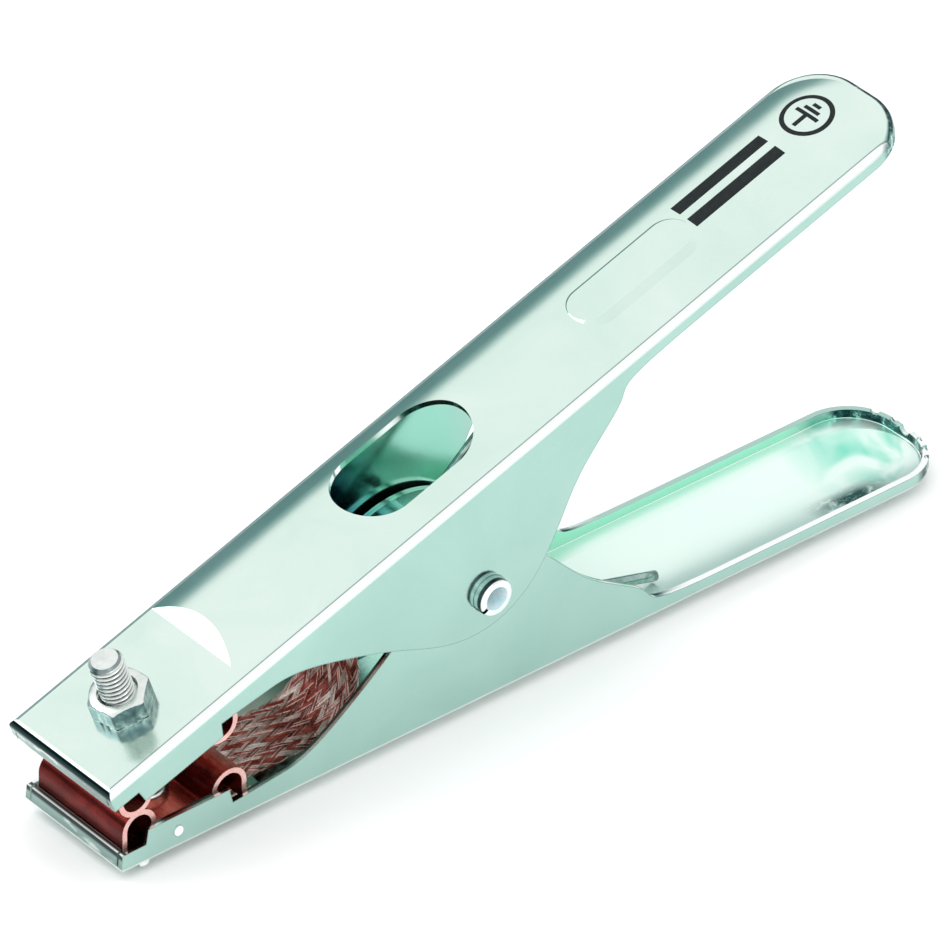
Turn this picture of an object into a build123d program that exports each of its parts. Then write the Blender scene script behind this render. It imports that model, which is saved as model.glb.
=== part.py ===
from build123d import *
import os
from math import atan2, cos, degrees, radians, sin, sqrt, tan

os.makedirs("parts", exist_ok=True)

# Spring-loaded welding earth clamp. Two stamped channel levers turn on one pivot sleeve.
# Row frame: origin at the middle of the pivot axis, +Y along that axis, +X towards the handles,
# +Z up, lower lever level. All sizes in millimetres.
#
# Each lever is drawn in its own stamping frame: x from the nose, y across, z = 0 at the outer
# face of the web, and the channel opening towards +z.

# ---- levers ----
SHEET = 1.5                 # steel sheet thickness
LENGTH = 246.0              # nose to handle end
UPPER_WIDTH = 36.0          # over the side walls
LOWER_WIDTH = 34.6          # over the folds of the nested lever
LOWER_LEAN = 3.4            # degrees that the nested lever's walls lean inwards
FOLD_RADIUS = 1.8           # outside radius of the folds
END_RADIUS = 14.0           # plan radius of the handle's two corners
PIVOT_X = 104.0             # nose to pivot
PIVOT_Z = 30.0              # outer web face to pivot
CLOSED_ANGLE = 19.2         # degrees between the two webs when the jaws are shut
CHANNEL_TOP = 45.0          # above the highest point of the side walls
THROUGH = 80.0              # longer than any wall that a tool has to pass
OVERSHOOT = 5.0             # a trimming outline runs this far past the sheet

# ---- crowned grip ----
CROWN_START = 41.5          # where the flat nose ends
CROWN_RISE = 2.4            # height of the crown over the folds
CROWN_OFFSET = 2.3          # the crown's ridge stands this far to one side of the middle
CROWN_MARGIN = 1.8          # between the crown's nearer side and the side wall's outer face
CROWN_ROOT = 0.3            # how far the crown's solid reaches into the web
CROWN_SLOPE = 0.5           # rise over run where the nose ramps up to the crown
CROWN_SHEET = 1.55          # sheet thickness measured straight through the crown

# ---- holes and pressings ----
CABLE_SLOT = (36.9, 21.5)   # length and width
CABLE_SLOT_PLACE = (104.8, 1.7)
GRIP_PAD = (35.0, 10.6)     # length and width of the flat pad raised on the crown
GRIP_PAD_PLACE = (174.1, 0.8)
GRIP_PAD_RISE = 0.05        # over the crown's ridge
PAD_SIDE_ANGLE = 65.0       # degrees from upright
SEAM_GAP = 0.6              # open corner between the nose lip and a side wall
SEAM_FLOOR = 1.9            # height at which the open corner starts
SEAM_REACH = 1.9            # how far back from the nose it runs
DIMPLE = (1.25, 0.45)       # radius and height of the locating dimple on each nose tab
DIMPLE_PLACE = (16.0, 5.0)
PIP = (2.1, 1.4)            # radius and height of the two resting pips under the nose
PIP_X = 7.5
PIP_INSET = 3.0             # pip centre in from the fold
BUTTON_ROOT = 0.7           # a pressed button's solid reaches this far into the sheet
BUTTON_EDGE = 0.6           # share of its height that is rounded
RIM_HEIGHT = 4.0            # side wall at the handle
CRIMPS = ((-13.0, 0.8), (-10.2, 1.1), (-6.6, 0.9), (-1.5, 1.9), (3.2, 0.9), (8.5, 1.2))
CRIMP_LIFT = 0.2            # the crimps, each given by its place across and radius, are centred over the rim

# ---- contact jaws ----
STRIP = 1.3                 # copper strip thickness
UPPER_JAW_WIDTH = 31.4
LOWER_JAW_WIDTH = 29.8
FRONT_RIB = (2.7, 10.8)     # centre lines of the front rib's legs
REAR_RIB = (27.8, 36.3)     # centre lines of the rear rib's legs
REAR_RIB_TOP = 13.0
RIB_GAP = 0.03              # half the gap left between the shut front ribs
VALLEY_RADIUS = 1.5
RIB_STRAIGHT = 0.01         # straight strip left between the two bends over a rib

# ---- bonding strap ----
FERRULE = (26.0, 20.0, 2.0) # length, width, thickness of the pressed end
FERRULE_START = 12.0
FERRULE_SIDE_RADIUS = 0.9
BRAID_WIDTH = 18.0
BRAID_THICKNESS = 2.6
BRAID_START = (38.1, 2.9)   # middle line in the lower stamping's x and z
BRAID_CORNER = (75.8, 3.0)
BRAID_BEND = 13.0

# ---- fasteners ----
FASTENER_X = (FRONT_RIB[1] + REAR_RIB[0]) / 2
STUD_RADIUS = 4.0
THREAD_MEET_RADIUS = 3.6    # where the engaged threads of stud and nut meet
STUD_CLEARANCE = 0.3        # round the stud in the parts that it clamps
HEX_ACROSS_FLATS = 13.0
BOLT_HEAD_HEIGHT = 5.3
NUT_HEIGHT = 5.0
STUD_OVER_NUT = 10.6
THREAD_START = 0.5          # the stud's full radius starts this far over the nut
NUT_TURN = 10.0             # degrees that the tight nut stands round from the bolt head
HEX_ROOT = 1.0              # the shank reaches this far into the bolt head
HEX_BEVEL = 30.0            # degrees of the bevel that takes the hexagon's corners off
HEX_FACE_LIFT = 0.15
THREAD_CHAMFER = 0.9
RIVET_RADIUS = 3.2
RIVET_HEAD_RADIUS = 6.0
RIVET_HEAD_HEIGHT = 2.2
RIVET_TAIL_RADIUS = 4.6
RIVET_TAIL_HEIGHT = 1.7
RIVET_EDGE = 1.2
RIVET_ROOT = 0.5            # the shank reaches this far into its head

# ---- pivot ----
SLEEVE_RADIUS = 4.6
SLEEVE_BORE = 3.0
SLEEVE_PROUD = 2.7          # sleeve past the outer lever's walls
SLEEVE_SLIT = 1.0
SLIT_ANGLE = 211.0          # degrees from +X towards +Z
SLEEVE_EDGE = 0.6
PIVOT_CLEARANCE = 0.05      # outer lever turns on the sleeve

# ---- torsion spring ----
WIRE = 2.6
COIL_RADIUS = 6.7           # to the wire's centre
COIL_HALF = 6.0             # each leg's distance from the middle
LEG_ANGLE = 21.5            # degrees from the lever's web
LEG_BEND_X = 44.0           # from the pivot
LEG_TIP_X = 60.0
LEG_TIP_HEIGHT = 1.0        # wire centre over the outer web face
LEG_BEND_RADIUS = 8.0
FULL_TURNS = 4
KNUCKLE_RADIUS = 1.34       # where each leg turns into the coil

HALF_ANGLE = CLOSED_ANGLE / 2


def to_lower(shape):
    """Stamping frame to the row frame, for the lower lever."""
    return Pos(-PIVOT_X, 0, -PIVOT_Z) * shape


def to_upper(shape):
    """Stamping frame to the row frame, for the upper lever: turned over and swung shut."""
    turned_over = mirror(to_lower(shape), about=Plane.XY)
    return Rot(0, -CLOSED_ANGLE, 0) * turned_over


def side_prism(outline, half_width=THROUGH / 2):
    """Solid of an outline drawn in x and z, across the width."""
    return extrude(Plane.XZ * outline, amount=half_width, both=True)


def crosswise(radius, x, z):
    """Round bar across the lever."""
    return Pos(x, 0, z) * Rot(90, 0, 0) * Cylinder(radius, THROUGH)


def post(radius, low, high):
    """Upright round bar on the fastener's axis."""
    bar = Cylinder(radius, high - low, align=(Align.CENTER, Align.CENTER, Align.MIN))
    return Pos(FASTENER_X, 0, low) * bar


def plan_outline(start, end, half_width, corner):
    """Flat shape square at the nose and rounded at the handle."""
    length = end - start
    face = Pos(start + length / 2, 0) * Rectangle(length, 2 * half_width)
    return fillet(face.vertices().group_by(Axis.X)[-1], corner)


def tray(half_width, inset, lean):
    """Solid tray with rounded folds: the channel's outside, or its inside when inset by the sheet."""
    outline = plan_outline(inset, LENGTH - inset, half_width, END_RADIUS - inset)
    body = extrude(Pos(0, 0, inset) * outline, amount=CHANNEL_TOP - inset, taper=lean)
    folds = body.edges().group_by(Axis.Z)[0]
    if inset:
        folds = [edge for edge in folds if edge.center().X > FOLD_RADIUS]
    return fillet(folds, FOLD_RADIUS - inset)


def crown(half_width, side):
    """Raised grip: a shallow barrel that ramps up from the nose and ends as part of a ball."""
    edge = half_width - CROWN_MARGIN - CROWN_OFFSET
    radius = (edge ** 2 + CROWN_RISE ** 2) / (2 * CROWN_RISE)
    centre = radius - CROWN_RISE
    barrel_end = LENGTH - CROWN_MARGIN - edge
    barrel = Pos(0, 0, centre) * Rot(0, 90, 0) * Cylinder(
        radius, barrel_end, align=(Align.CENTER, Align.CENTER, Align.MIN))
    ball = Pos(barrel_end, 0, centre) * Sphere(radius)
    over = CROWN_RISE + OVERSHOOT
    ramp = Polygon((CROWN_START - CROWN_ROOT / CROWN_SLOPE, CROWN_ROOT), (LENGTH, CROWN_ROOT),
                   (LENGTH, -over), (CROWN_START + over / CROWN_SLOPE, -over), align=None)
    return Pos(0, side * CROWN_OFFSET, 0) * (barrel + ball) & side_prism(ramp)


def wall_outline():
    """Side view of a lever: nose tab with a notch for each rib, pivot lobe, low handle wall."""
    nose = Polyline((-OVERSHOOT, -OVERSHOOT), (-OVERSHOOT, 5.1), (7.0, 5.3), (7.8, 8.9), (30.7, 9.1),
                    (31.5, 5.4), (36.0, 5.8), (47.0, 7.0))
    flank = Spline((47.0, 7.0), (57.6, 11.0), (66.0, 16.3), (78.5, 25.6), (90.8, 35.2), (104.0, 39.0),
                   (116.2, 35.6), (128.0, 25.6), (136.5, 18.0), (150.8, 9.2), (176.0, RIM_HEIGHT),
                   tangents=((1, 0.15), (1, 0)))
    end = LENGTH + OVERSHOOT
    handle = Polyline((176.0, RIM_HEIGHT), (end, RIM_HEIGHT), (end, -OVERSHOOT), (-OVERSHOOT, -OVERSHOOT))
    return make_face([nose, flank, handle])


def grip_pad(side):
    """Flat pad with sloping sides, raised on the crown."""
    x, y = GRIP_PAD_PLACE
    top = Pos(x, side * y, -CROWN_RISE - GRIP_PAD_RISE)
    return extrude(top * SlotOverall(*GRIP_PAD), amount=CROWN_SHEET, taper=-PAD_SIDE_ANGLE)


def rim_crimps(half_width):
    """Scallops round the handle's end, where the skirt was gathered."""
    flat_end = half_width - END_RADIUS
    marks = []
    for offset, radius in CRIMPS:
        into_corner = max(0.0, abs(offset) - flat_end)
        end = LENGTH - END_RADIUS + sqrt(END_RADIUS ** 2 - into_corner ** 2)
        marks.append(Pos(end - SHEET / 2, offset, RIM_HEIGHT + CRIMP_LIFT) * Sphere(radius))
    return marks


def nose_seams(half_width):
    """Open corners where the nose lip and the side walls are folded up separately."""
    slit = Box(2 * SEAM_REACH, SEAM_GAP, THROUGH, align=(Align.CENTER, Align.CENTER, Align.MIN))
    offset = half_width - SHEET - SEAM_GAP / 2
    return [Pos(0, side * offset, SEAM_FLOOR) * slit for side in (-1, 1)]


def lever(width, lean, side, pivot_radius, fastener_radius):
    """Stamped channel lever without its cable slot, its crown towards one side, +1 or -1 along y."""
    half = width / 2
    inner_half = half - SHEET - SHEET * tan(radians(lean))
    grip = crown(half, side)
    shell = (tray(half, 0, lean) + grip) - tray(inner_half, SHEET, lean) - Pos(0, 0, CROWN_SHEET) * grip
    shell = (shell & side_prism(wall_outline())) + grip_pad(side)
    shell -= crosswise(pivot_radius, PIVOT_X, PIVOT_Z)
    shell -= post(fastener_radius, -SHEET, 2 * SHEET)
    for cut in nose_seams(half) + rim_crimps(half):
        shell -= cut
    return shell


def upper_lever():
    """Outer lever, which turns on the sleeve and has the slot for the welding cable."""
    shell = lever(UPPER_WIDTH, 0, 1, SLEEVE_RADIUS + PIVOT_CLEARANCE, STUD_RADIUS + STUD_CLEARANCE)
    slot = extrude(SlotOverall(*CABLE_SLOT), amount=THROUGH / 2, both=True)
    return shell - Pos(*CABLE_SLOT_PLACE, 0) * slot


def button(radius, height):
    """Low round button standing up from z = 0, with its root below."""
    body = Pos(0, 0, -BUTTON_ROOT) * Cylinder(radius, height + BUTTON_ROOT,
                                              align=(Align.CENTER, Align.CENTER, Align.MIN))
    return fillet(body.edges().group_by(Axis.Z)[-1], BUTTON_EDGE * height)


def lower_lever():
    """Nested lever, fixed to the sleeve, with a dimple on each nose tab and two resting pips."""
    shell = lever(LOWER_WIDTH, LOWER_LEAN, -1, SLEEVE_RADIUS, RIVET_RADIUS)
    dimple_x, dimple_z = DIMPLE_PLACE
    wall_y = LOWER_WIDTH / 2 - dimple_z * tan(radians(LOWER_LEAN))
    for side in (-1, 1):
        shell += Pos(PIP_X, side * (LOWER_WIDTH / 2 - PIP_INSET), 0) * Rot(180, 0, 0) * button(*PIP)
        shell += Pos(dimple_x, side * wall_y, dimple_z) * Rot(-90 * side, 0, 0) * button(*DIMPLE)
    return shell


def rib_contact_top():
    """Height of the front rib at which the two shut jaws meet on the clamp's mid plane."""
    middle = sum(FRONT_RIB) / 2
    outer_radius = (FRONT_RIB[1] - FRONT_RIB[0]) / 2 + STRIP / 2
    slope = radians(HALF_ANGLE)
    mid_plane = PIVOT_Z - (PIVOT_X - middle) * tan(slope)
    return mid_plane - (outer_radius + RIB_GAP) / cos(slope) + outer_radius


def jaw(width, hole_radius):
    """Copper strip bent into two hollow ribs with a flat valley between them."""
    seat = SHEET + FERRULE[2] + STRIP / 2
    front_top = rib_contact_top() - STRIP / 2
    rear_top = REAR_RIB_TOP - STRIP / 2
    front_bend = (FRONT_RIB[1] - FRONT_RIB[0] - RIB_STRAIGHT) / 2
    rear_bend = (REAR_RIB[1] - REAR_RIB[0] - RIB_STRAIGHT) / 2
    path = FilletPolyline(
        (FRONT_RIB[0], SHEET), (FRONT_RIB[0], front_top), (FRONT_RIB[1], front_top),
        (FRONT_RIB[1], seat), (REAR_RIB[0], seat), (REAR_RIB[0], rear_top),
        (REAR_RIB[1], rear_top), (REAR_RIB[1], SHEET + FERRULE[2]),
        radius=[front_bend, front_bend, VALLEY_RADIUS, VALLEY_RADIUS, rear_bend, rear_bend])
    strip = trace(path, line_width=STRIP)
    solid = side_prism(strip, width / 2)
    return solid - post(hole_radius, 0, THROUGH)


def ferrule(hole_radius):
    """Flattened copper sleeve pressed on the strap's end."""
    length, width, thickness = FERRULE
    block = Box(length, width, thickness, align=(Align.MIN, Align.CENTER, Align.MIN))
    block = fillet(block.edges().filter_by(Axis.X), FERRULE_SIDE_RADIUS)
    block = Pos(FERRULE_START, 0, SHEET) * block
    return block - post(hole_radius, 0, THROUGH)


def mirrored_point(point):
    """Point of the lower side, in x and z of the row frame, as the upper side has it."""
    x, z = point
    turn = radians(CLOSED_ANGLE)
    return (x * cos(turn) + z * sin(turn), x * sin(turn) - z * cos(turn))


def braid_loop():
    """Flat strap that leaves the lower ferrule, turns back and enters the upper one."""
    start = (BRAID_START[0] - PIVOT_X, BRAID_START[1] - PIVOT_Z)
    corner = (BRAID_CORNER[0] - PIVOT_X, BRAID_CORNER[1] - PIVOT_Z)
    path = FilletPolyline(start, corner, mirrored_point(corner), mirrored_point(start),
                          radius=BRAID_BEND)
    strap = trace(path, line_width=BRAID_THICKNESS)
    return side_prism(strap, BRAID_WIDTH / 2)


def hexagon(height):
    """Hexagonal prism with two flats across x and its far corners turned off."""
    rim = HEX_ACROSS_FLATS / 2
    prism = extrude(RegularPolygon(rim, 6, major_radius=False, rotation=30), amount=height)
    cone = Cone(rim + height / tan(radians(HEX_BEVEL)), rim, height,
                align=(Align.CENTER, Align.CENTER, Align.MIN))
    return prism & (Pos(0, 0, HEX_FACE_LIFT) * cone)


def terminal_bolt():
    """Hexagon screw, head inside the channel, threaded end standing out of the nose."""
    seat = SHEET + FERRULE[2] + STRIP
    shank = post(THREAD_MEET_RADIUS, -NUT_HEIGHT - THREAD_START, seat + HEX_ROOT)
    thread = post(STUD_RADIUS, -NUT_HEIGHT - STUD_OVER_NUT, -NUT_HEIGHT - THREAD_START)
    thread = chamfer(thread.edges().group_by(Axis.Z)[0], THREAD_CHAMFER)
    return shank + thread + Pos(FASTENER_X, 0, seat) * hexagon(BOLT_HEAD_HEIGHT)


def terminal_nut():
    """Hexagon nut against the outer face of the nose."""
    body = Rot(0, 0, NUT_TURN) * mirror(hexagon(NUT_HEIGHT), about=Plane.XY)
    return Pos(FASTENER_X, 0, 0) * body - post(THREAD_MEET_RADIUS, -THROUGH, THROUGH)


def lower_jaw_rivet():
    """Pan-head rivet through jaw, ferrule and web, upset on the outside."""
    seat = SHEET + FERRULE[2] + STRIP
    head = post(RIVET_HEAD_RADIUS, seat, seat + RIVET_HEAD_HEIGHT)
    head = fillet(head.edges().group_by(Axis.Z)[-1], RIVET_EDGE)
    tail = post(RIVET_TAIL_RADIUS, -RIVET_TAIL_HEIGHT, 0)
    tail = fillet(tail.edges().group_by(Axis.Z)[0], RIVET_EDGE)
    return head + post(RIVET_RADIUS, 0, seat + RIVET_ROOT) + tail


def pivot_sleeve():
    """Rolled tube whose edges leave a slit along its length."""
    length = UPPER_WIDTH + 2 * SLEEVE_PROUD
    tube = Cylinder(SLEEVE_RADIUS, length)
    rims = tube.edges().group_by(Axis.Z)
    tube = fillet(rims[0] + rims[-1], SLEEVE_EDGE)
    tube -= Cylinder(SLEEVE_BORE, THROUGH)
    tube -= Pos(SLEEVE_RADIUS, 0, 0) * Box(2 * SLEEVE_RADIUS, SLEEVE_SLIT, THROUGH)
    return Rot(0, -SLIT_ANGLE, 0) * Rot(90, 0, 0) * tube


def spring_leg(side):
    """Straight leg with a bent tip, leaving the coil below it; drawn for the lower lever."""
    slope = radians(LEG_ANGLE)
    leave = (-COIL_RADIUS * sin(slope), -COIL_RADIUS * cos(slope))
    bend = (LEG_BEND_X, leave[1] - (LEG_BEND_X - leave[0]) * tan(slope))
    tip = (LEG_TIP_X, LEG_TIP_HEIGHT - PIVOT_Z)
    path = FilletPolyline(leave, bend, tip, radius=LEG_BEND_RADIUS)
    wire = Plane.XZ * path
    profile = Plane(origin=wire @ 0, z_dir=wire % 0) * Circle(WIRE / 2)
    leg = sweep(profile, path=wire) + Pos(leave[0], 0, leave[1]) * Sphere(KNUCKLE_RADIUS)
    return Pos(0, side * COIL_HALF, 0) * leg


def torsion_spring():
    """Coil round the sleeve with one leg on each lever's web."""
    start_angle = 270 - LEG_ANGLE
    sweep_angle = 2 * start_angle - CLOSED_ANGLE - 360 + 360 * FULL_TURNS
    pitch = 2 * COIL_HALF * 360 / sweep_angle
    helix = Helix(pitch=pitch, height=2 * COIL_HALF, radius=COIL_RADIUS, direction=(0, 1, 0))
    helix = Pos(0, -COIL_HALF, 0) * helix
    first = helix @ 0
    helix = Rot(0, degrees(atan2(first.Z, first.X)) - start_angle, 0) * helix
    profile = Plane(origin=helix @ 0, z_dir=helix % 0) * Circle(WIRE / 2)
    coil = sweep(profile, path=helix, is_frenet=True)
    upper_leg = Rot(0, -CLOSED_ANGLE, 0) * mirror(spring_leg(1), about=Plane.XY)
    return coil + spring_leg(-1) + upper_leg


PARTS = {
    "lower_lever": lambda: to_lower(lower_lever()),
    "upper_lever": lambda: to_upper(upper_lever()),
    "lower_jaw": lambda: to_lower(jaw(LOWER_JAW_WIDTH, RIVET_RADIUS)),
    "upper_jaw": lambda: to_upper(jaw(UPPER_JAW_WIDTH, STUD_RADIUS + STUD_CLEARANCE)),
    "lower_braid_ferrule": lambda: to_lower(ferrule(RIVET_RADIUS)),
    "upper_braid_ferrule": lambda: to_upper(ferrule(STUD_RADIUS + STUD_CLEARANCE)),
    "braid_loop": braid_loop,
    "terminal_bolt": lambda: to_upper(terminal_bolt()),
    "terminal_nut": lambda: to_upper(terminal_nut()),
    "lower_jaw_rivet": lambda: to_lower(lower_jaw_rivet()),
    "pivot_sleeve": pivot_sleeve,
    "torsion_spring": torsion_spring,
}

for name, build in PARTS.items():
    solid = build()
    solid.label = name
    export_step(solid, f"parts/{name}.step")
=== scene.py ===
import math
import random
import bmesh
import bpy
from mathutils import Matrix, Vector
from mathutils.bvhtree import BVHTree


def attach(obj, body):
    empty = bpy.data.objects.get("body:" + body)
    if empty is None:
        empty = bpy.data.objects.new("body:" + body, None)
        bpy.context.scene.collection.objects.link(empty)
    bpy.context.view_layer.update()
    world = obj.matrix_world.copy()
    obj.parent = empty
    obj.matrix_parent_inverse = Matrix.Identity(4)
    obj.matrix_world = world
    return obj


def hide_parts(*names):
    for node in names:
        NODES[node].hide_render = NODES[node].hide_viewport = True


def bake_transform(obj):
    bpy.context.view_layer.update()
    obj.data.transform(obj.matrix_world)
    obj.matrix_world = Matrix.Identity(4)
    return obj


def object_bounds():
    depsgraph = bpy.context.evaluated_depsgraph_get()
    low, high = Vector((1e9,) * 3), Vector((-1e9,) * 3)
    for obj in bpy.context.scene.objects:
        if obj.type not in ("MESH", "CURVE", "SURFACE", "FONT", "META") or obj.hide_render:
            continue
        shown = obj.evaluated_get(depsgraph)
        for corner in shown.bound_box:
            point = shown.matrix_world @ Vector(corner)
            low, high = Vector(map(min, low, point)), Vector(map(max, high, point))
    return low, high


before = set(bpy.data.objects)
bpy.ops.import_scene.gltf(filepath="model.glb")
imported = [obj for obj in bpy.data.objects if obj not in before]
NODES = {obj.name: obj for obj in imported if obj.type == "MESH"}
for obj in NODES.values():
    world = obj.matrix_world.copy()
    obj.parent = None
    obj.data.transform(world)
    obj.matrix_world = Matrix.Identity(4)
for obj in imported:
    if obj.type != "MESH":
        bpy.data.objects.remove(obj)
CAD_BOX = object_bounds()

MM = 0.001

# ---- sizes of the real clamp, in metres, in the frame's axes: pivot at the origin, +X to the handles ----
CLOSED = math.radians(19.2)          # angle between the two levers when the jaws are shut
PIVOT = Vector((104.0, 0.0, 30.0)) * MM   # pivot in the lower lever's stamping frame


def lower_point(x, y, z):
    """Point of the lower lever, given in mm from its nose, across it and up from its web's outer face."""
    return Vector((x, y, z)) * MM - PIVOT


def upper_point(x, y, z):
    """The same for the upper lever, z being the depth inwards from its web's outer face."""
    upright = Vector((x * MM - PIVOT.x, y * MM, PIVOT.z - z * MM))
    return Matrix.Rotation(-CLOSED, 3, "Y") @ upright


# ---------------------------------------------------------------- materials


class Nodes:
    """Small helper that adds and links shader nodes."""

    def __init__(self, name):
        self.material = bpy.data.materials.new(name)
        self.material.use_nodes = True
        self.tree = self.material.node_tree
        self.shader = self.tree.nodes["Principled BSDF"]

    def add(self, kind, **values):
        node = self.tree.nodes.new(kind)
        for key, value in values.items():
            if hasattr(node, key):
                setattr(node, key, value)
            else:
                node.inputs[key.replace("_", " ")].default_value = value
        return node

    def link(self, source, target):
        self.tree.links.new(source, target)

    def coordinates(self, scale=(1, 1, 1), tilt=0.0):
        place = self.add("ShaderNodeTexCoord")
        mapping = self.add("ShaderNodeMapping")
        mapping.inputs["Scale"].default_value = scale
        mapping.inputs["Rotation"].default_value = (0, tilt, 0)
        self.link(place.outputs["Object"], mapping.inputs["Vector"])
        return mapping.outputs["Vector"]

    def noise(self, vector, scale, detail=3.0, roughness=0.5, distortion=0.0):
        node = self.add("ShaderNodeTexNoise")
        node.inputs["Scale"].default_value = scale
        node.inputs["Detail"].default_value = detail
        node.inputs["Roughness"].default_value = roughness
        node.inputs["Distortion"].default_value = distortion
        self.link(vector, node.inputs["Vector"])
        return node.outputs["Fac"]

    def ramp(self, value, stops):
        node = self.add("ShaderNodeValToRGB")
        ramp = node.color_ramp
        while len(ramp.elements) < len(stops):
            ramp.elements.new(0.5)
        for element, (position, colour) in zip(ramp.elements, stops):
            element.position = position
            element.color = (*colour, 1)
        self.link(value, node.inputs["Fac"])
        return node.outputs["Color"]

    def span(self, value, low, high, source=(0.3, 0.7)):
        node = self.add("ShaderNodeMapRange")
        node.inputs["From Min"].default_value = source[0]
        node.inputs["From Max"].default_value = source[1]
        node.inputs["To Min"].default_value = low
        node.inputs["To Max"].default_value = high
        self.link(value, node.inputs["Value"])
        return node.outputs["Result"]

    def place(self):
        """Place in the frame, which is every CAD node's own space."""
        return self.add("ShaderNodeTexCoord").outputs["Object"]

    def surface(self):
        """The surface's own direction, in the same space."""
        return self.add("ShaderNodeTexCoord").outputs["Normal"]

    def math(self, operation, *values):
        node = self.add("ShaderNodeMath", operation=operation)
        for socket, value in zip(node.inputs, values):
            if isinstance(value, float):
                socket.default_value = value
            else:
                self.link(value, socket)
        return node.outputs[0]

    def along(self, vector, direction):
        """A vector's length along a direction."""
        dot = self.add("ShaderNodeVectorMath", operation="DOT_PRODUCT")
        self.link(vector, dot.inputs[0])
        dot.inputs[1].default_value = direction
        return dot.outputs["Value"]

    def step(self, value, start, end):
        """0 up to the start, 1 from the end on."""
        return self.span(value, 0.0, 1.0, (start, end))

    def every(self, *masks):
        """Where all the masks hold."""
        result = masks[0]
        for mask in masks[1:]:
            result = self.math("MULTIPLY", result, mask)
        return result

    def off_axis(self, origin, axis):
        """Distance from a straight line."""
        away = self.add("ShaderNodeVectorMath", operation="SUBTRACT")
        self.link(self.place(), away.inputs[0])
        away.inputs[1].default_value = origin
        across = self.add("ShaderNodeVectorMath", operation="CROSS_PRODUCT")
        self.link(away.outputs[0], across.inputs[0])
        across.inputs[1].default_value = axis
        length = self.add("ShaderNodeVectorMath", operation="LENGTH")
        self.link(across.outputs[0], length.inputs[0])
        return length.outputs["Value"]

    def edges(self, radius):
        """1 beside the sharp edges of a piece."""
        rounded = self.add("ShaderNodeBevel", samples=4, Radius=radius)
        facing = self.add("ShaderNodeVectorMath", operation="DOT_PRODUCT")
        self.link(rounded.outputs["Normal"], facing.inputs[0])
        self.link(self.add("ShaderNodeNewGeometry").outputs["Normal"], facing.inputs[1])
        return self.step(facing.outputs["Value"], 0.998, 0.97)

    def mix(self, factor, first, second, blend="MIX"):
        node = self.add("ShaderNodeMix", data_type="RGBA", blend_type=blend)
        if isinstance(factor, float):
            node.inputs[0].default_value = factor
        else:
            self.link(factor, node.inputs[0])
        for socket, value in ((node.inputs[6], first), (node.inputs[7], second)):
            if isinstance(value, tuple):
                socket.default_value = (*value, 1)
            else:
                self.link(value, socket)
        return node.outputs[2]

    def bump(self, height, distance, strength=1.0, under=None):
        node = self.add("ShaderNodeBump")
        node.inputs["Strength"].default_value = strength
        node.inputs["Distance"].default_value = distance
        self.link(height, node.inputs["Height"])
        if under is not None:
            self.link(under, node.inputs["Normal"])
        return node.outputs["Normal"]

    def finish(self, colour=None, roughness=None, normal=None, **fixed):
        for name, source in (("Base Color", colour), ("Roughness", roughness), ("Normal", normal)):
            if source is not None:
                self.link(source, self.shader.inputs[name])
        for name, value in fixed.items():
            self.shader.inputs[name.replace("_", " ")].default_value = value
        return self.material


ACROSS = (0.0, 1.0, 0.0)
GLINT = (0.97, 1.0, 0.99)            # painted highlight, nearly white

# Places on a lever: distance past the pivot, and height from its axis out to the web, in metres.
WEB_FACE = 0.0300                    # height of the web's outer face
WEB_INNER = 0.0285                   # height of its inner face
WEB_INSIDE = 0.0280                  # just inside that face
WALL_START = 0.0265                  # the side walls lie below this height
CREASE_IN = 0.00168                  # the crease's distance in from the fold's outside
SLOT_SPAN = (-0.0205, 0.0225)        # a little past both ends of the cable slot
SLOT_ASIDE = 0.0140                  # its masks end at this distance from the lever's middle
NOSE_START = -0.1022                 # just behind the nose lip
HANDLE_START = 0.030
GATHER_START = 0.124                 # where the handle's end starts to be gathered


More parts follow.
